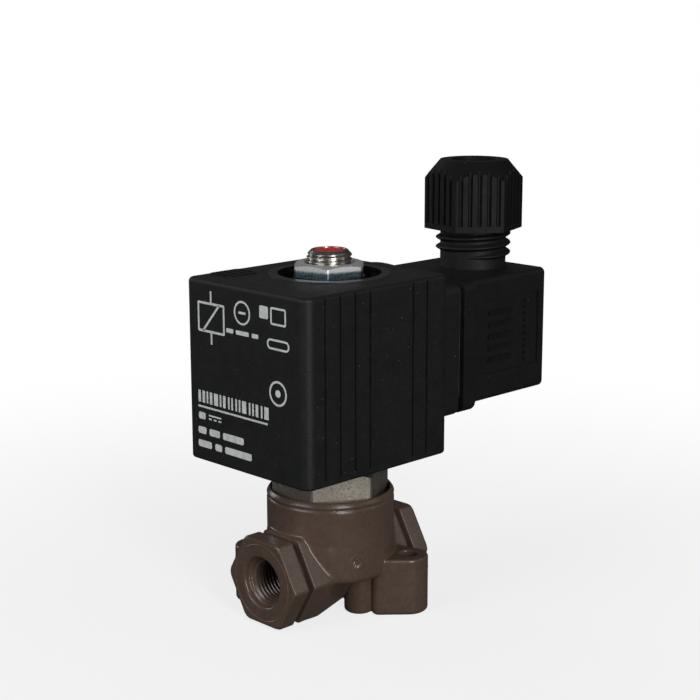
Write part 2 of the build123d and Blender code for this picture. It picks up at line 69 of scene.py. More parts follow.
# threads
PORT_HEIGHT = 10.0 * MM
PORT_THREAD_PITCH = 0.907 * MM
PORT_THREAD_DEPTH = 0.58 * MM
NECK_THREAD_PITCH = 2.2 * MM
NECK_THREAD_R = 8.6 * MM
NECK_THREAD_START_Z = 72.75 * MM
NECK_THREAD_START_ANGLE = math.radians(190)
STUD_THREAD_PITCH = 1.0 * MM
STUD_THREAD_DEPTH = 0.5 * MM

# faces and corners of the CAD part that the pieces here are laid on or made to match
PORT_BORE_R = 4.86 * MM
PORT_SEAM_R = 8.35                     # ring of flash on each port face, in mm
GATE_PIT = np.array((4.75, 13.1, 13.9)) * MM
BOSS_X = 9.59                          # in mm, as BOSS_Y and BOSS_SEAM_R
BOSS_Y = 14.22
BOSS_SEAM_R = 4.37
BOSS_SEAM_Z = 9.7 * MM
CORE_BORE_R = 3.1 * MM
CORE_BORE_DEPTH = 4 * MM
CORE_R = 5.53 * MM
CORE_HEAD_Z = 70.0 * MM
STUD_SHOULDER_R = 6.5 * MM
STUD_SHOULDER_Z = 70.8 * MM
STUD_R = 4.8 * MM
STUD_CHAMFER = 1.05 * MM
STUD_HOLLOW_DEPTH = 0.8 * MM
# height below which the nut is painted darker and bluish: painted shade on its lower part
NUT_SHADE_Z = 75.0 * MM
COIL_EAST_X = 17.4 * MM
COIL_CORNER_R = 2.2                    # in mm
COIL_RING_RISE = 0.25 * MM             # the seat ring's top over the coil's top
COIL_SEAT = (11.05 * MM, 13.1 * MM, 71.3 * MM)    # floor radius, ring radius, lowest height
COIL_SEAM_Z = 59.2 * MM
NECK_R = 7.45 * MM
NECK_THREAD_TOP_Z = 84.7 * MM
PLUG_PANEL_Y = 13.4 * MM
SUNK = 0.01 * MM                       # how far a mark's foot sits inside the face under it


# ---------------------------------------------------------------- node helpers


class Recipe:
    """A material's node tree with a few short calls for the textures used here."""

    def __init__(self, name):
        self.material = bpy.data.materials.new(name)
        self.material.use_nodes = True
        self.tree = self.material.node_tree
        self.shader = self.tree.nodes["Principled BSDF"]
        self.coords = self.tree.nodes.new("ShaderNodeTexCoord").outputs["Object"]

    def node(self, kind, **values):
        made = self.tree.nodes.new(kind)
        for key, value in values.items():
            setattr(made, key, value)
        return made

    def link(self, out, into):
        self.tree.links.new(out, into)

    def noise(self, size, detail=3.0, rough=0.6, stretch=(1, 1, 1), seed=0.0):
        """Noise whose blobs are about size metres across."""
        mapping = self.node("ShaderNodeMapping")
        mapping.inputs["Location"].default_value = (seed, seed * 0.7, seed * 1.3)
        mapping.inputs["Scale"].default_value = stretch
        self.link(self.coords, mapping.inputs["Vector"])
        made = self.node("ShaderNodeTexNoise")
        made.inputs["Scale"].default_value = 1.0 / size
        made.inputs["Detail"].default_value = detail
        made.inputs["Roughness"].default_value = rough
        self.link(mapping.outputs["Vector"], made.inputs["Vector"])
        return made.outputs["Fac"]

    def cells(self, size, seed=0.0):
        mapping = self.node("ShaderNodeMapping")
        mapping.inputs["Location"].default_value = (seed, seed, seed)
        self.link(self.coords, mapping.inputs["Vector"])
        made = self.node("ShaderNodeTexVoronoi", feature="F1")
        made.inputs["Scale"].default_value = 1.0 / size
        self.link(mapping.outputs["Vector"], made.inputs["Vector"])
        return made.outputs["Distance"]

    def ramp(self, fac, *stops):
        """Maps a value to grey levels; each stop is (position, level)."""
        made = self.node("ShaderNodeValToRGB")
        elements = made.color_ramp.elements
        while len(elements) < len(stops):
            elements.new(0.5)
        for element, (position, level) in zip(elements, stops):
            element.position = position
            element.color = (level, level, level, 1)
        self.link(fac, made.inputs["Fac"])
        return made.outputs["Color"]

    def mix(self, fac, a, b):
        made = self.node("ShaderNodeMix", data_type="RGBA")
        self.link(fac, made.inputs["Factor"])
        for name, value in (("A", a), ("B", b)):
            socket = [s for s in made.inputs if s.name == name and s.type == "RGBA"][0]
            if isinstance(value, (tuple, list)):
                socket.default_value = (*value[:3], 1)
            else:
                self.link(value, socket)
        return [s for s in made.outputs if s.type == "RGBA"][0]

    def math(self, operation, a, b):
        made = self.node("ShaderNodeMath", operation=operation)
        for i, value in enumerate((a, b)):
            if isinstance(value, (int, float)):
                made.inputs[i].default_value = value
            else:
                self.link(value, made.inputs[i])
        return made.outputs[0]

    def bump(self, height, depth, strength=1.0, onto=None):
        made = self.node("ShaderNodeBump")
        made.inputs["Strength"].default_value = strength
        made.inputs["Distance"].default_value = depth
        self.link(height, made.inputs["Height"])
        if onto is not None:
            self.link(onto, made.inputs["Normal"])
        return made.outputs["Normal"]

    def finish(self, color=None, rough=None, normal=None, metallic=0.0, ior=1.5, coat=0.0):
        shader = self.shader
        shader.inputs["Metallic"].default_value = metallic
        shader.inputs["IOR"].default_value = ior
        shader.inputs["Coat Weight"].default_value = coat
        for name, value in (("Base Color", color), ("Roughness", rough), ("Normal", normal)):
            if isinstance(value, (int, float)):
                shader.inputs[name].default_value = value
            elif isinstance(value, tuple):
                shader.inputs[name].default_value = (*value, 1)
            elif value is not None:
                self.link(value, shader.inputs[name])
        return self.material


def scaled(color, factor):
    return tuple(min(1.0, c * factor) for c in color)


# ---------------------------------------------------------------- materials


def moulded_plastic(
    name, color, rough, grain, depth, dust=0.0, ior=1.5, contrast=0.25, seed=0.0, glossy_seat_painted_sheen=None
):
    """Moulded plastic: eroded-mould grain, faint cloudy tone, and a little dust.

    The seat argument, as (floor radius, ring radius, height), makes a glossier round seat about the Z axis;
    its raised ring is also painted four times lighter, a painted reflection.
    """
    r = Recipe(name)
    cloud = r.noise(9 * MM, detail=4, seed=seed)
    fine = r.noise(0.9 * MM, detail=3, seed=seed + 3)
    tone = r.math("MULTIPLY", cloud, fine)
    clouded = r.ramp(tone, (0.12, 0.0), (0.42, 1.0))
    base = r.mix(clouded, scaled(color, 1 - contrast), scaled(color, 1 + contrast))
    if dust:
        speck = r.ramp(r.cells(1.5 * MM, seed=seed + 5), (0.03, 1.0), (0.07, 0.0))
        patch = r.ramp(r.noise(6 * MM, detail=2, seed=seed + 8), (0.48, 0.0), (0.6, dust))
        base = r.mix(r.math("MULTIPLY", speck, patch), base, (0.32, 0.32, 0.31))
        film = r.noise(0.5 * MM, detail=6, rough=0.75, seed=seed + 9)
        haze = r.ramp(film, (0.56, 0.0), (0.72, dust * 0.05))
        base = r.mix(haze, base, (0.3, 0.3, 0.3))
    spread = r.ramp(r.noise(3 * MM, detail=5, seed=seed + 11), (0.3, rough - 0.06), (0.7, rough + 0.07))
    grainy = r.noise(grain, detail=2, rough=0.55, seed=seed + 1)
    wavy = r.noise(7 * MM, detail=1, seed=seed + 13)
    normal = r.bump(grainy, depth, 0.9)
    normal = r.bump(wavy, 0.05 * MM, 0.35, onto=normal)
    if glossy_seat_painted_sheen:
        floor_r, ring_r, above = glossy_seat_painted_sheen
        flat = r.node("ShaderNodeVectorMath", operation="MULTIPLY")
        flat.inputs[1].default_value = (1, 1, 0)
        r.link(r.coords, flat.inputs[0])
        reach = r.node("ShaderNodeVectorMath", operation="LENGTH")
        r.link(flat.outputs["Vector"], reach.inputs[0])
        split = r.node("ShaderNodeSeparateXYZ")
        r.link(r.coords, split.inputs[0])
        high = r.math("GREATER_THAN", split.outputs["Z"], above)
        seat = r.math("MULTIPLY", high, r.math("LESS_THAN", reach.outputs["Value"], ring_r))
        inner = r.math("MULTIPLY", high, r.math("LESS_THAN", reach.outputs["Value"], floor_r))
        spread = r.mix(seat, spread, (0.32, 0.32, 0.32))
        spread = r.mix(inner, spread, (0.08, 0.08, 0.08))
        # painted reflection: the raised seat ring's base colour is four times lighter, standing in for the
        # sheen it catches
        base = r.mix(r.math("SUBTRACT", seat, inner), base, scaled(color, 4.0))
    return r.finish(base, spread, normal, ior=ior)


def blasted_metal(name, color, rough):
    """Nickel plate over a bead-blasted surface, with dark speckles and small pits; the pits are also
    painted darker, as painted shade.
    """
    r = Recipe(name)
    grain = r.noise(0.16 * MM, detail=2, rough=0.5)
    pits = r.ramp(r.cells(0.55 * MM), (0.0, 0.0), (0.16, 1.0))
    stain = r.noise(4 * MM, detail=4, seed=2)
    base = r.mix(r.ramp(stain, (0.35, 0.0), (0.68, 1.0)), scaled(color, 0.82), scaled(color, 1.08))
    # painted shade: the pit interiors are painted darker
    base = r.mix(pits, scaled(color, 0.55), base)
    spread = r.ramp(grain, (0.3, rough - 0.12), (0.7, rough + 0.1))
    speckle = r.ramp(r.noise(0.42 * MM, detail=4, rough=0.7, seed=5), (0.4, 0.0), (0.56, 1.0))
    base = r.mix(speckle, scaled(color, 0.62), base)
    normal = r.bump(grain, 0.05 * MM, 1.0)
    normal = r.bump(pits, 0.02 * MM, 0.5, onto=normal)
    return r.finish(base, spread, normal, metallic=1.0)


def turned_metal(name, color, rough):
    """Machined or drawn metal with fine lines round its upright axis."""
    r = Recipe(name)
    lines = r.noise(0.11 * MM, detail=2, stretch=(0.12, 0.12, 1.0))
    stain = r.noise(3.5 * MM, detail=4, seed=4)
    base = r.mix(r.ramp(stain, (0.36, 0.0), (0.66, 1.0)), scaled(color, 0.85), color)
    spread = r.ramp(r.noise(1.2 * MM, detail=5, seed=6), (0.3, rough - 0.07), (0.72, rough + 0.1))
    return r.finish(base, spread, r.bump(lines, 0.012 * MM, 0.7), metallic=1.0)


def zinc_plate(name, color, blue):
    """Bright zinc with the blue cast of its passivation."""
    r = Recipe(name)
    cast = r.noise(2.2 * MM, detail=3, seed=1)
    base = r.mix(r.ramp(cast, (0.38, 0.0), (0.62, 1.0)), blue, color)
    smudge = r.noise(0.7 * MM, detail=5, seed=7)
    spread = r.ramp(smudge, (0.32, 0.13), (0.7, 0.3))
    return r.finish(base, spread, r.bump(r.noise(0.25 * MM, detail=3), 0.01 * MM, 0.6), metallic=1.0)


def zinc_with_painted_shade(name, shade_below):
    """Zinc with faint upright streaks; below a height it is darker, bluish and mottled, which is painted
    shade on the nut's lower part, and it is less rough there.
    """
    r = Recipe(name)
    height = r.node("ShaderNodeSeparateXYZ")
    r.link(r.coords, height.inputs[0])
    wobble = r.math("MULTIPLY", r.noise(0.5 * MM, detail=4, seed=3), 0.5 * MM)
    level = r.math("SUBTRACT", r.math("ADD", height.outputs["Z"], wobble), shade_below)
    bright = r.ramp(r.math("DIVIDE", level, 0.5 * MM), (0.0, 0.0), (1.0, 1.0))
    mottle = r.ramp(r.noise(0.35 * MM, detail=4, seed=9), (0.4, 0.0), (0.6, 1.0))
    # painted shade: the darker bluish tone of the nut's lower part
    shaded_tone = r.mix(mottle, (0.12, 0.22, 0.28), (0.42, 0.54, 0.60))
    streaky = r.noise(0.3 * MM, detail=4, stretch=(1, 1, 2.5), seed=12)
    base = r.mix(bright, shaded_tone, r.ramp(streaky, (0.35, 0.78), (0.65, 1.0)))
    spread = r.mix(bright, (0.3, 0.3, 0.3), (0.48, 0.48, 0.48))
    return r.finish(base, spread, r.bump(r.noise(0.25 * MM, detail=3), 0.01 * MM, 0.6), metallic=1.0)


def gloss_paint(name, color, rough):
    """Brushed or printed paint, a little uneven in tone."""
    r = Recipe(name)
    tone = r.noise(1.4 * MM, detail=3)
    base = r.mix(r.ramp(tone, (0.35, 0.0), (0.65, 1.0)), scaled(color, 0.82), scaled(color, 1.06))
    spread = r.ramp(r.noise(0.5 * MM, seed=3), (0.3, rough), (0.7, rough + 0.12))
    return r.finish(base, spread, r.bump(r.noise(0.6 * MM, seed=5), 0.03 * MM, 0.5))


def soft_rubber(name, color):
    """Matt rubber with a pale bloom."""
    r = Recipe(name)
    bloom = r.noise(2.4 * MM, detail=5)
    base = r.mix(r.ramp(bloom, (0.35, 0.0), (0.7, 1.0)), color, scaled(color, 1.9))
    spread = r.ramp(bloom, (0.3, 0.62), (0.7, 0.82))
    return r.finish(base, spread, r.bump(r.noise(0.2 * MM), 0.02 * MM, 0.7))


def wound_wire(name, color):
    """Enamelled wire laid in close turns round the bobbin, with painted shade in the grooves between the
    turns.
    """
    r = Recipe(name)
    wave = r.node("ShaderNodeTexWave", wave_type="BANDS", bands_direction="Z")
    wave.inputs["Scale"].default_value = 1.0 / (1.1 * MM)
    wave.inputs["Distortion"].default_value = 0.4
    r.link(r.coords, wave.inputs["Vector"])
    # painted shade: the grooves between turns are darker
    base = r.mix(wave.outputs["Fac"], scaled(color, 0.55), color)
    return r.finish(base, 0.28, r.bump(wave.outputs["Fac"], 0.1 * MM, 0.8), metallic=0.85, coat=0.5)


BLACK = (0.0068, 0.0072, 0.0074)
BROWN = (0.094, 0.062, 0.046)
ZINC = (0.66, 0.70, 0.74)
ZINC_BLUE = (0.36, 0.47, 0.60)
BRASS = (0.66, 0.49, 0.22)
STEEL = (0.52, 0.51, 0.49)


def make_materials():
    grain = 0.34 * MM
    body_grain = 0.3 * MM
    return {
        "body": moulded_plastic(
            "body_brown", BROWN, 0.27, body_grain, 0.016 * MM, dust=0.35, contrast=0.16
        ),
        # seam: a lighter brown, a painted highlight along the raised hairline seams
        "seam": moulded_plastic(
            "body_flash_painted_highlight", scaled(BROWN, 1.9), 0.3, body_grain, 0.01 * MM, contrast=0.3
        ),
        # coil: its seat ring is glossier and also carries a painted reflection, a lighter base colour
        "coil": moulded_plastic(
            "coil_black", BLACK, 0.55, grain, 0.035 * MM, dust=0.9, ior=1.42, seed=2, glossy_seat_painted_sheen=COIL_SEAT
        ),
        "plug": moulded_plastic(
            "plug_black", scaled(BLACK, 0.8), 0.58, grain, 0.035 * MM, dust=0.4, ior=1.37, seed=5
        ),
        "mark": moulded_plastic("plug_mark", scaled(BLACK, 0.8), 0.3, grain, 0.01 * MM, dust=0.1, seed=6),
        "gland": moulded_plastic(
            "gland_black", scaled(BLACK, 0.55), 0.56, grain, 0.03 * MM, dust=0.3, ior=1.3, seed=8
        ),
        "inner_plastic": moulded_plastic("inner_black", scaled(BLACK, 1.6), 0.5, grain, 0.02 * MM, seed=9),
        "nylon": moulded_plastic("natural_nylon", (0.62, 0.58, 0.47), 0.4, grain, 0.01 * MM, contrast=0.06),
        "bonnet": blasted_metal("bonnet_nickel", (0.44, 0.4, 0.34), 0.54),
        "zinc": zinc_plate("zinc_bright", ZINC, ZINC_BLUE),
        "nut": zinc_with_painted_shade("zinc_nut", NUT_SHADE_Z),
        "steel": turned_metal("stainless_turned", STEEL, 0.24),
        "stud": turned_metal("stud_steel", (0.60, 0.575, 0.54), 0.27),
        "brass": turned_metal("brass_turned", BRASS, 0.26),
        "tinned": turned_metal("tinned_brass", (0.64, 0.61, 0.55), 0.3),
        "copper": wound_wire("copper_wire", (0.62, 0.25, 0.11)),
        "rubber": soft_rubber("black_rubber", (0.016, 0.016, 0.017)),
        "red": gloss_paint("red_paint", (1.0, 0.03, 0.015), 0.1),
        "print": gloss_paint("white_print", (0.72, 0.73, 0.72), 0.45),
    }


# replaced nodes (valve_body, fixed_core, plunger_spring) get theirs with their new pieces
CAD_FINISH = {
    "orifice_seat": "brass",
    "body_seal": "rubber",
    "bonnet": "bonnet",
    "guide_tube": "steel",
    "stud_mark": "red",
    "coil_seal": "rubber",
    "plunger": "steel",
    "plunger_seal": "rubber",
    "top_washer": "zinc",
    "top_nut": "nut",
    "coil_housing": "coil",
    "coil_bobbin": "nylon",
    "coil_winding": "copper",
    "yoke_frame": "zinc",
    "power_blades": "tinned",
    "earth_blade": "tinned",
    "screw_insert": "brass",
    "connector_gasket": "rubber",
    "connector_housing": "plug",
    "terminal_block": "inner_plastic",
    "contact_clips": "tinned",
    "terminal_screws": "zinc",
    "fixing_screw": "zinc",
    "cable_grommet": "rubber",
    "gland_washer": "inner_plastic",
    "gland_nut": "gland",
}


def finish_cad_nodes(materials):
    """Gives every CAD node that stays in view its procedural material."""
    for node, key in CAD_FINISH.items():
        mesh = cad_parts[node].data
        mesh.materials.clear()
        mesh.materials.append(materials[key])


# ---------------------------------------------------------------- mesh helpers


def add_piece(name, mesh, body, material, sharp_deg=35.0, replaces=()):
    """Links a mesh as a piece with its material; it rides on the body, or on none if that is None."""
    for polygon in mesh.polygons:
        polygon.use_smooth = True
    mesh.set_sharp_from_angle(angle=math.radians(sharp_deg))
    piece = bpy.data.objects.new(name, mesh)
    bpy.context.scene.collection.objects.link(piece)
    mesh.materials.clear()
    mesh.materials.append(material)
    if body:
        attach(piece, body)
    for node in replaces:
        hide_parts(node)
    return piece


def mesh_from(name, vertices, faces):
    mesh = bpy.data.meshes.new(name)
    mesh.from_pydata([tuple(v) for v in vertices], [], faces)
    bm = bmesh.new()
    bm.from_mesh(mesh)
    bmesh.ops.recalc_face_normals(bm, faces=bm.faces)
    bm.to_mesh(mesh)
    bm.free()
    return mesh


def helical_ridge(
    name, place, root_r, crest_r, pitch, start_z, turns, root_w, crest_w, start=0.0, fade=0.12
):
    """Thread ridge swept round local Z, fading in and out at its ends; place puts it in the frame."""
    steps = int(turns * 96)
    profile = []
    for i in range(9):
        t = -1 + i / 4
        rise = 1 - abs(t) ** 3
        width = root_w + (crest_w - root_w) * rise
        profile.append((rise, t * width / 2))
    vertices = []
    for s in range(steps + 1):
        share = s / steps
        angle = start + share * turns * TURN
        grow = min(1.0, share * turns / fade / 2, (1 - share) * turns / fade / 2)
        grow = grow * grow * (3 - 2 * grow)
        z = start_z + share * turns * pitch
        for rise, along in profile:
            radius = root_r + (crest_r - root_r) * rise * grow
            shrink = 0.25 + 0.75 * grow
            point = Vector((radius * math.cos(angle), radius * math.sin(angle), z + along * shrink))
            vertices.append(place @ point)
    return mesh_from(name, vertices, swept_faces(steps, len(profile)))


def points_of(mesh):
    """Vertex places as rows of an array."""
    co = np.zeros(len(mesh.vertices) * 3)
    mesh.vertices.foreach_get("co", co)
    return co.reshape(-1, 3)


def swept_faces(steps, around):
    """Faces of a tube whose points run round and round, with both ends closed."""
    faces = []
    for s in range(steps):
        for k in range(around):
            a, b = s * around + k, s * around + (k + 1) % around
            faces.append((a, b, b + around, a + around))
    faces.append(tuple(range(around)))
    faces.append(tuple(steps * around + k for k in range(around)))
    return faces


def smoothed(mesh, rounds, weight=None):
    """Laplacian smoothing of a mesh in place; weight scales it point by point."""
    co = points_of(mesh)
    count = len(co)
    edges = np.zeros(len(mesh.edges) * 2, np.int64)
    mesh.edges.foreach_get("vertices", edges)
    edges = edges.reshape(-1, 2)
    degree = np.bincount(edges.ravel(), minlength=count).astype(float)
    share = 0.5 if weight is None else 0.5 * weight(co)[:, None]
    for _ in range(rounds):
        mean = np.zeros_like(co)
        for axis in range(3):
            total = np.bincount(edges[:, 0], co[edges[:, 1], axis], minlength=count)
            total += np.bincount(edges[:, 1], co[edges[:, 0], axis], minlength=count)
            mean[:, axis] = total / degree
        co += share * (mean - co)
    mesh.vertices.foreach_set("co", co.ravel())
    mesh.update()


# ---------------------------------------------------------------- valve body and its threads


def gate_pits(mesh):
    """Rough little pits where the moulding gates were broken off, one beside each boss."""
    co = points_of(mesh)
    for sign in (-1, 1):
        centre = GATE_PIT * (sign, sign, 1)
        away = np.linalg.norm(co - centre, axis=1) / MM
        wave = np.sin(co[:, 0] / MM * 9.1 + co[:, 2] / MM * 4) * np.sin(co[:, 2] / MM * 10.3 + 1)
        pit = np.exp(-((away / 0.95) ** 2)) * (0.22 + 0.42 * wave)
        lip = np.exp(-(((away - 1.3) / 0.35) ** 2)) * 0.08
        inward = -co[:, :2] / np.linalg.norm(co[:, :2], axis=1)[:, None]
        co[:, :2] += inward * ((pit - lip) * np.where(away < 2.5, 1, 0) * MM)[:, None]
    mesh.vertices.foreach_set("co", co.ravel())
    mesh.update()


def valve_body_piece(materials):
    """The moulded body with rounded edges and filled inner corners, from its CAD solid."""
    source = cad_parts["valve_body"].data.copy()
    helper = bpy.data.objects.new("body_source", source)
    bpy.context.scene.collection.objects.link(helper)
    remesh = helper.modifiers.new("remesh", "REMESH")
    remesh.mode = "VOXEL"
    remesh.voxel_size = 0.2 * MM
    bpy.context.view_layer.update()
    graph = bpy.context.evaluated_depsgraph_get()
    mesh = bpy.data.meshes.new_from_object(helper.evaluated_get(graph))
    mesh.name = "valve_body_moulding"
    bpy.data.objects.remove(helper)
    bpy.data.meshes.remove(source)

    def near_junction(co):
        radius = np.hypot(co[:, 0], co[:, 1])
        ring = np.clip(1 - np.abs(radius - 13.8 * MM) / (1.6 * MM), 0, 1)
        side = np.clip((np.abs(co[:, 0]) - 6 * MM) / (2 * MM), 0, 1)
        low = np.clip((19.9 * MM - co[:, 2]) / (1 * MM), 0, 1)
        inside = np.hypot(co[:, 1], co[:, 2] - PORT_HEIGHT) < 6.2 * MM
        return ring * side * low * np.where(inside, 0, 1)

    smoothed(mesh, 4)
    smoothed(mesh, 24, near_junction)
    gate_pits(mesh)
    mesh.shade_smooth()
    name = "valve_body_moulding"
    add_piece(name, mesh, "valve", materials["body"], 60, ("valve_body",))


def port_threads(materials):
    """Pipe thread ridges in both ports, standing in from the bore wall."""
    wall = PORT_BORE_R + 0.06 * MM
    crest = PORT_BORE_R - PORT_THREAD_DEPTH
    for name, sign in (("inlet_thread", -1), ("outlet_thread", 1)):
        outward = Matrix(((0, 0, sign, 0), (0, sign, 0, 0), (-1, 0, 0, PORT_HEIGHT), (0, 0, 0, 1)))
        mesh = helical_ridge(
            name, outward, wall, crest, PORT_THREAD_PITCH, 10.9 * MM, 8.5,
            PORT_THREAD_PITCH * 0.98, PORT_THREAD_PITCH * 0.3, fade=0.4,
        )
        add_piece(name, mesh, "valve", materials["body"])


# ---------------------------------------------------------------- stud


def stud_piece(materials):
    """Fixed core and threaded stud as one turned piece, with the thread cut into the stud."""
    low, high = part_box("fixed_core")
    top = high.z
    hollow_z = top - STUD_HOLLOW_DEPTH
    profile = [
        (0.0, low.z + CORE_BORE_DEPTH), (CORE_BORE_R, low.z + CORE_BORE_DEPTH), (CORE_BORE_R, low.z),
        (CORE_R, low.z), (CORE_R, CORE_HEAD_Z), (STUD_SHOULDER_R, CORE_HEAD_Z),
        (STUD_SHOULDER_R, STUD_SHOULDER_Z),
    ]
    thread_top = top - 0.12 * MM
    steps = 130
    for i in range(steps + 1):
        profile.append((STUD_R, STUD_SHOULDER_Z + (thread_top - STUD_SHOULDER_Z) * i / steps))
    profile += [
        (STUD_R - STUD_CHAMFER, top - 0.03 * MM), (STUD_R - STUD_CHAMFER - 0.05 * MM, top),
        (3.55 * MM, top), (3.48 * MM, top - 0.05 * MM), (3.46 * MM, hollow_z), (0.0, hollow_z),
    ]
    segments = 144
    vertices = []
    for radius, z in profile:
        threaded = abs(radius - STUD_R) < 1e-9
        for s in range(segments):
            angle = TURN * s / segments
            here = radius
            if threaded:
                phase = (z / STUD_THREAD_PITCH - angle / TURN) % 1.0
                groove = max(0.0, 1 - abs(phase - 0.5) / 0.42)
                run_out = min(1.0, (z - STUD_SHOULDER_Z) / STUD_THREAD_PITCH)
                cone = STUD_R - max(0.0, z - (top - STUD_CHAMFER)) * 0.92
                here = min(cone, radius - STUD_THREAD_DEPTH * groove * max(0.0, run_out))
            here = max(here, 1e-6)
            vertices.append((here * math.cos(angle), here * math.sin(angle), z))
    faces = []
    for row in range(len(profile) - 1):
        for s in range(segments):
            a, b = row * segments + s, row * segments + (s + 1) % segments
            faces.append((a, b, b + segments, a + segments))
    mesh = mesh_from("fixed_core_stud", vertices, faces)
    bm = bmesh.new()
    bm.from_mesh(mesh)
    bmesh.ops.remove_doubles(bm, verts=bm.verts, dist=0.004 * MM)
    bm.to_mesh(mesh)
    bm.free()
    add_piece("fixed_core_stud", mesh, "valve", materials["stud"], 40, ("fixed_core",))


def spring_piece(materials):
    """Return spring with closed end turns, built at one length."""
    low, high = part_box("plunger_spring")
    wire_r = 0.3 * MM
    mean_r = (high.x - low.x) / 2 - wire_r
    height = high.z - low.z - 2 * wire_r
    turns, per_turn, around = 9, 48, 12
    steps = turns * per_turn
    closed = 2.1 * wire_r
    pitch = (height - 2 * closed) / (turns - 2)
    vertices = []
    for s in range(steps + 1):
        share = s / per_turn
        angle = TURN * share
        if share < 1:
            rise = closed * share
        elif share > turns - 1:
            rise = height - closed * (turns - share)
        else:
            rise = closed + pitch * (share - 1)
        for k in range(around):
            turn = TURN * k / around
            radius = mean_r + wire_r * math.cos(turn)
            z = low.z + wire_r + rise + wire_r * math.sin(turn)
            vertices.append((radius * math.cos(angle), radius * math.sin(angle), z))
    mesh = mesh_from("return_spring", vertices, swept_faces(steps, around))
    node = "plunger_spring"
    piece = add_piece("return_spring", mesh, None, materials["steel"], 50, (node,))
    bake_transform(piece)


# ---------------------------------------------------------------- gland neck thread


def neck_thread(materials):
    """Coarse moulded thread on the connector's gland neck."""
    low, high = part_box("gland_washer")
    place = Matrix.Translation(((low.x + high.x) / 2, 0, 0))
    turns = (NECK_THREAD_TOP_Z - NECK_THREAD_START_Z) / NECK_THREAD_PITCH
    mesh = helical_ridge(
        "gland_neck_thread", place, NECK_R, NECK_THREAD_R, NECK_THREAD_PITCH, NECK_THREAD_START_Z,
        turns, 1.75 * MM, 0.9 * MM, start=NECK_THREAD_START_ANGLE,
    )
    add_piece("gland_neck_thread", mesh, "coil", materials["plug"], 50)


# ---------------------------------------------------------------- flat marks


def rounded_loop(cx, cy, width, height, radius, steps=5):
    points = []
    for corner, (sx, sy) in enumerate(((1, 1), (-1, 1), (-1, -1), (1, -1))):
        for i in range(steps + 1):
            a = math.radians(90 * corner + 90 * i / steps)
            x = cx + sx * (width / 2 - radius) + radius * math.cos(a)
            y = cy + sy * (height / 2 - radius) + radius * math.sin(a)
            points.append((x, y))
    return points


def round_loop(cx, cy, radius, steps=56):
    angles = [TURN * i / steps for i in range(steps)]
    return [(cx + radius * math.cos(a), cy + radius * math.sin(a)) for a in angles]


class Marks:
    """Thin raised flat shapes on one face; to_frame turns (u, v, height) into a point."""

    def __init__(self, to_frame, thickness):
        self.to_frame = to_frame
        self.thickness = thickness
        self.vertices = []
        self.faces = []

    def add_loop(self, loop, height):
        first = len(self.vertices)
        self.vertices += [self.to_frame(u * MM, v * MM, height) for u, v in loop]
        return list(range(first, first + len(loop)))

    def skirt(self, low, high):
        n = len(low)
        for i in range(n):
            j = (i + 1) % n
            self.faces.append((low[i], low[j], high[j], high[i]))

    def solid(self, loop):
        low, high = self.add_loop(loop, 0.0), self.add_loop(loop, self.thickness)
        self.skirt(low, high)
        self.faces.append(tuple(high))
        self.faces.append(tuple(low))

    def outline(self, outer, inner):
        n = len(outer)
        o_low, o_high = self.add_loop(outer, 0.0), self.add_loop(outer, self.thickness)
        i_low, i_high = self.add_loop(inner, 0.0), self.add_loop(inner, self.thickness)
        self.skirt(o_low, o_high)
        self.skirt(i_low, i_high)
        for a, b in ((o_high, i_high), (o_low, i_low)):
            for i in range(n):
                j = (i + 1) % n
                self.faces.append((a[i], a[j], b[j], b[i]))

    def bar(self, x, y, width, height, radius=None):
        radius = min(width, height) * 0.3 if radius is None else radius
        self.solid(rounded_loop(x, y, width, height, radius))

    def frame_bar(self, x, y, width, height, line, radius):
        inner_r = max(radius - line, 0.05)
        outer = rounded_loop(x, y, width, height, radius)
        self.outline(outer, rounded_loop(x, y, width - 2 * line, height - 2 * line, inner_r))

    def ring(self, x, y, radius, line):
        self.outline(round_loop(x, y, radius), round_loop(x, y, radius - line))

    def slanted(self, x0, y0, x1, y1, line):
        length = math.hypot(x1 - x0, y1 - y0)
        nx, ny = -(y1 - y0) / length * line / 2, (x1 - x0) / length * line / 2
        self.solid([(x0 + nx, y0 + ny), (x0 - nx, y0 - ny), (x1 - nx, y1 - ny), (x1 + nx, y1 + ny)])

    def mesh(self, name):
        return mesh_from(name, self.vertices, self.faces)


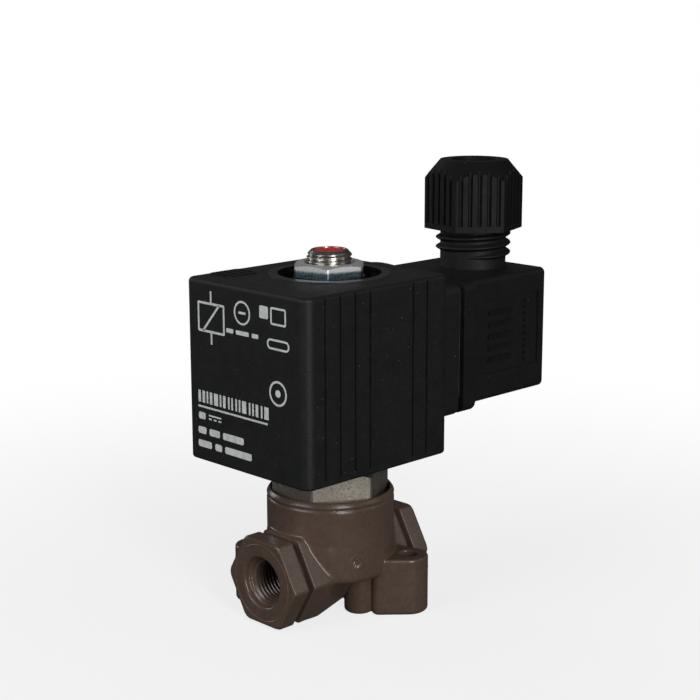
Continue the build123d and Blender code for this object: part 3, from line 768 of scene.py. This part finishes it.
def coil_print(materials):
    """Plain white pad print on the coil's face: a coil symbol, plain frames and blank text lines."""
    face_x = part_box("coil_housing")[0].x
    shift_y, shift_z, sunk = -0.66 * MM, 0.6 * MM, 0.005 * MM
    marks = Marks(lambda u, v, h: Vector((face_x - h + sunk, shift_y - u, v + shift_z)), 0.022 * MM)
    # generic coil symbol: a frame with a slanting stroke and a lead above and below
    marks.frame_bar(-10.8, 65.5, 8.6, 6.4, 0.5, 0.35)
    marks.slanted(-13.4, 62.6, -8.2, 68.4, 0.5)
    marks.bar(-10.8, 69.9, 0.5, 2.4, 0.05)
    marks.bar(-10.8, 61.1, 0.5, 2.4, 0.05)
    # plain frames and rings where approvals would be
    marks.ring(-1.0, 67.9, 2.5, 0.42)
    marks.bar(-1.0, 67.9, 2.2, 0.5)
    marks.bar(5.6, 69.0, 2.6, 2.6, 0.4)
    marks.frame_bar(9.9, 68.6, 4.6, 3.6, 0.42, 0.5)
    marks.frame_bar(9.8, 62.9, 6.6, 2.2, 0.42, 1.05)
    marks.ring(9.6, 53.0, 2.6, 0.45)
    marks.bar(9.6, 53.0, 1.5, 1.5, 0.7)
    # blank lines in place of text
    for x, width in ((-4.9, 2.2), (-1.0, 4.0), (2.9, 2.0)):
        marks.bar(x, 63.7, width, 0.9)
    rng = random.Random(7)
    x = -15.5
    while x < 5.8:
        width = rng.choice((0.5, 0.8, 1.3))
        marks.bar(x + width / 2, 48.3, width, 2.6, 0.1)
        x += width + rng.choice((0.55, 0.8))
    marks.bar(-4.6, 46.1, 22.0, 0.42, 0.1)
    marks.bar(-14.4, 44.1, 2.2, 1.5)
    marks.bar(-10.2, 44.5, 4.0, 0.35, 0.1)
    for k in range(3):
        marks.bar(-11.75 + 1.55 * k, 43.75, 0.9, 0.35, 0.1)
    for x, width in ((-14.4, 2.6), (-10.4, 3.4), (-4.4, 6.6)):
        marks.bar(x, 40.9, width, 1.5)
    for x, width in ((-13.6, 4.4), (-9.2, 2.2), (-2.9, 8.4)):
        marks.bar(x, 38.0, width, 1.5)
    mesh = marks.mesh("coil_print")
    add_piece("coil_print", mesh, "coil", materials["print"], 20)


def coil_top_mark(materials):
    """Small raised mould mark on the coil's top: a plain frame with three strokes."""
    top_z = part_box("coil_housing")[1].z - COIL_RING_RISE
    at_x, at_y = -14.6 * MM, 14.0 * MM
    marks = Marks(lambda u, v, h: Vector((at_x - v, at_y + u, top_z - SUNK + h)), 0.24 * MM)
    marks.frame_bar(0, 0, 6.6, 8.0, 0.4, 0.8)
    for k in range(3):
        marks.bar(0, 2.1 - 2.1 * k, 4.2, 0.7, 0.3)
    add_piece("coil_top_mark", marks.mesh("coil_top_mark"), "coil", materials["mark"], 30)


def coil_back_mound(materials):
    """Low moulded mound at the middle of the coil's top edge, on the connector side."""
    top_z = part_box("coil_housing")[1].z - COIL_RING_RISE
    at_x, half_x = 15.3 * MM, 1.5 * MM
    at_y, half_y = -0.4 * MM, 4.6 * MM
    rows, columns = 10, 24
    vertices, faces = [], []
    for i in range(rows + 1):
        for j in range(columns + 1):
            u, v = -1 + 2 * i / rows, -1 + 2 * j / columns
            rise = (1 - abs(u) ** 3) * math.cos(v * math.pi / 2) ** 0.8
            z = top_z + (0.52 * rise - 0.04) * MM
            vertices.append(Vector((at_x + u * half_x, at_y + v * half_y, z)))
    n = columns + 1
    for i in range(rows):
        for j in range(columns):
            faces.append((i * n + j, i * n + j + 1, (i + 1) * n + j + 1, (i + 1) * n + j))
    rim = list(range(n)) + [i * n + columns for i in range(1, rows + 1)]
    rim += [rows * n + j for j in range(columns - 1, -1, -1)] + [i * n for i in range(rows - 1, 0, -1)]
    faces.append(tuple(rim))
    mesh = mesh_from("coil_back_mound", vertices, faces)
    add_piece("coil_back_mound", mesh, "coil", materials["coil"], 60)


def plug_side_marks(materials):
    """Plain raised strokes and dots in the shallow panel on each side of the connector."""
    for name, side in (("plug_marks_left", -1), ("plug_marks_right", 1)):

        def place(u, v, h):
            return Vector((u, side * (PLUG_PANEL_Y + h - SUNK), v + 0.4 * MM))

        marks = Marks(place, 0.32 * MM)
        for k in range(5):
            marks.bar(40.0, 50.9 + 2.65 * k, 8.0, 1.1, 0.5)
        for k in range(10):
            marks.bar(48.7, 49.3 + 1.52 * k, 0.9, 0.7, 0.3)
        add_piece(name, marks.mesh(name), "coil", materials["mark"], 30)


# ---------------------------------------------------------------- mould seams


def seam_mesh(name, path, to_frame, half, height, closed=True):
    """Hairline ridge along a flat path.

    to_frame takes a path point, its outward direction, and how far out and across into the frame.
    """
    foot = -0.04 * MM
    vertices, faces = [], []
    n = len(path)
    for i, (x, y) in enumerate(path):
        px, py = path[i - 1] if closed or i else path[0]
        qx, qy = path[(i + 1) % n] if closed or i < n - 1 else path[-1]
        length = math.hypot(qx - px, qy - py)
        ox, oy = (qy - py) / length, -(qx - px) / length
        for outwards, across in ((foot, -half), (height, 0), (foot, half)):
            vertices.append(to_frame(x, y, ox, oy, outwards, across))
    for i in range(n if closed else n - 1):
        j = (i + 1) % n
        for k in range(3):
            m = (k + 1) % 3
            faces.append((3 * i + k, 3 * i + m, 3 * j + m, 3 * j + k))
    if not closed:
        faces += [(0, 1, 2), (3 * n - 3, 3 * n - 1, 3 * n - 2)]
    return mesh_from(name, vertices, faces)


def arc(cx, cy, radius, start_deg, end_deg, steps):
    angles = [math.radians(start_deg + (end_deg - start_deg) * i / steps) for i in range(steps + 1)]
    return [(cx + radius * math.cos(a), cy + radius * math.sin(a)) for a in angles]


def mould_seams(materials):
    """Hairlines of flash where mould halves met: round the coil, on the bosses, on the port faces."""

    def level(z):
        def to_frame(x, y, ox, oy, outwards, across):
            return Vector((x * MM + ox * outwards, y * MM + oy * outwards, z + across))

        return to_frame

    low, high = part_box("coil_housing")
    middle, length = (low.x + COIL_EAST_X) / 2 / MM, (COIL_EAST_X - low.x) / MM
    loop = rounded_loop(middle, 0, length, 2 * high.y / MM, COIL_CORNER_R, 10)
    mesh = seam_mesh("coil_seam", loop, level(COIL_SEAM_Z), 0.05 * MM, 0.035 * MM)
    add_piece("coil_seam", mesh, "coil", materials["coil"], 60)
    # the boss and port-face seams take the lighter brown: painted highlight along the hairlines
    for k, sign in enumerate((1, -1)):
        name = f"boss_seam_{k}"
        start = -168 if sign > 0 else 12
        path = arc(sign * BOSS_X, -sign * BOSS_Y, BOSS_SEAM_R, start, start + 200, 60)
        mesh = seam_mesh(name, path, level(BOSS_SEAM_Z), 0.07 * MM, 0.07 * MM, closed=False)
        add_piece(name, mesh, "valve", materials["seam"], 60)
    for name, side in (("inlet_face_seam", -1), ("outlet_face_seam", 1)):
        face_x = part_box("valve_body")[0 if side < 0 else 1].x

        def on_face(y, z, oy, oz, outwards, across):
            return Vector((face_x + side * outwards, y * MM + oy * across, z * MM + oz * across))

        loop = round_loop(0, PORT_HEIGHT / MM, PORT_SEAM_R, 90)
        mesh = seam_mesh(name, loop, on_face, 0.08 * MM, 0.05 * MM)
        add_piece(name, mesh, "valve", materials["seam"], 60)


# ---------------------------------------------------------------- camera, light and floor


def make_camera():
    forward = Vector((
        -math.sin(VIEW_AZIMUTH) * math.cos(VIEW_ELEVATION),
        math.cos(VIEW_AZIMUTH) * math.cos(VIEW_ELEVATION),
        -math.sin(VIEW_ELEVATION),
    ))
    right = Vector((math.cos(VIEW_AZIMUTH), math.sin(VIEW_AZIMUTH), 0))
    up = right.cross(forward)
    rolled = math.cos(VIEW_ROLL) * right + math.sin(VIEW_ROLL) * up
    upward = -math.sin(VIEW_ROLL) * right + math.cos(VIEW_ROLL) * up
    data = bpy.data.cameras.new("camera")
    data.lens = VIEW_LENS
    data.sensor_width = 36
    data.clip_start = 0.01
    camera = bpy.data.objects.new("camera", data)
    bpy.context.scene.collection.objects.link(camera)
    turn = Matrix((rolled, upward, -forward)).transposed().to_4x4()
    camera.matrix_world = Matrix.Translation(VIEW_TARGET - forward * VIEW_DISTANCE) @ turn
    bpy.context.scene.camera = camera


def soft_light(name, azimuth, elevation, distance, size, power, color=(1, 1, 1)):
    """Soft box that looks at the valve; azimuth 0 is at -Y and grows towards +X."""
    aim = Vector((0.01, 0, 0.05))
    a, e = math.radians(azimuth), math.radians(elevation)
    away = Vector((math.sin(a) * math.cos(e), -math.cos(a) * math.cos(e), math.sin(e)))
    data = bpy.data.lights.new(name, "AREA")
    data.shape = "RECTANGLE"
    data.size, data.size_y = size
    data.energy = power
    data.color = color
    light = bpy.data.objects.new(name, data)
    light.location = aim + away * distance
    light.rotation_euler = away.to_track_quat("Z", "Y").to_euler()
    bpy.context.scene.collection.objects.link(light)


def make_lights():
    soft_light("key", -22, 18, 0.9, (0.24, 0.7), 5.6)
    soft_light("left_fill", -98, 26, 1.0, (0.45, 0.6), 3.6, (0.97, 0.98, 1.0))
    soft_light("right_fill", 38, 24, 1.1, (0.4, 0.5), 0.5)
    soft_light("back_left", -172, 16, 1.2, (0.25, 0.5), 1.8)
    soft_light("back_top", 135, 44, 1.2, (0.6, 0.4), 0.3)


def make_world():
    world = bpy.data.worlds.new("studio")
    bpy.context.scene.world = world
    world.use_nodes = True
    tree = world.node_tree
    background = tree.nodes["Background"]
    path = tree.nodes.new("ShaderNodeLightPath")
    mix = tree.nodes.new("ShaderNodeMix")
    mix.inputs["A"].default_value = 0.048
    mix.inputs["B"].default_value = 1.0
    tree.links.new(path.outputs["Is Camera Ray"], mix.inputs["Factor"])
    tree.links.new(mix.outputs["Result"], background.inputs["Strength"])
    background.inputs["Color"].default_value = (1, 1, 1, 1)


def make_floor():
    """Plain pale floor that turns to even white away from the valve."""
    mesh = bpy.data.meshes.new("floor")
    half = 6.0
    corners = [(-half, -half, 0), (half, -half, 0), (half, half, 0), (-half, half, 0)]
    mesh.from_pydata(corners, [], [(0, 1, 2, 3)])
    floor = bpy.data.objects.new("floor", mesh)
    bpy.context.scene.collection.objects.link(floor)
    floor.location.z = -0.02 * MM
    floor.visible_glossy = False
    floor.visible_diffuse = False
    material = bpy.data.materials.new("floor")
    material.use_nodes = True
    tree = material.node_tree
    tree.nodes.remove(tree.nodes["Principled BSDF"])
    diffuse = tree.nodes.new("ShaderNodeBsdfDiffuse")
    diffuse.inputs["Color"].default_value = (0.86, 0.86, 0.86, 1)
    glow = tree.nodes.new("ShaderNodeEmission")
    glow.inputs["Color"].default_value = (1, 1, 1, 1)
    glow.inputs["Strength"].default_value = 1.0
    coords = tree.nodes.new("ShaderNodeTexCoord")
    length = tree.nodes.new("ShaderNodeVectorMath")
    length.operation = "LENGTH"
    tree.links.new(coords.outputs["Object"], length.inputs[0])
    fade = tree.nodes.new("ShaderNodeMapRange")
    fade.interpolation_type = "SMOOTHSTEP"
    fade.inputs["From Min"].default_value = 0.03
    fade.inputs["From Max"].default_value = 0.25
    fade.inputs["To Min"].default_value = 0.78
    tree.links.new(length.outputs["Value"], fade.inputs["Value"])
    mix = tree.nodes.new("ShaderNodeMixShader")
    tree.links.new(fade.outputs["Result"], mix.inputs["Fac"])
    tree.links.new(diffuse.outputs[0], mix.inputs[1])
    tree.links.new(glow.outputs[0], mix.inputs[2])
    tree.links.new(mix.outputs[0], tree.nodes["Material Output"].inputs["Surface"])
    mesh.materials.append(material)


# ---------------------------------------------------------------- build

materials = make_materials()
finish_cad_nodes(materials)
valve_body_piece(materials)
port_threads(materials)
stud_piece(materials)
spring_piece(materials)
neck_thread(materials)
coil_print(materials)
coil_top_mark(materials)
coil_back_mound(materials)
plug_side_marks(materials)
mould_seams(materials)
make_camera()
make_lights()
make_world()
make_floor()
bpy.context.scene.view_settings.view_transform = "Standard"
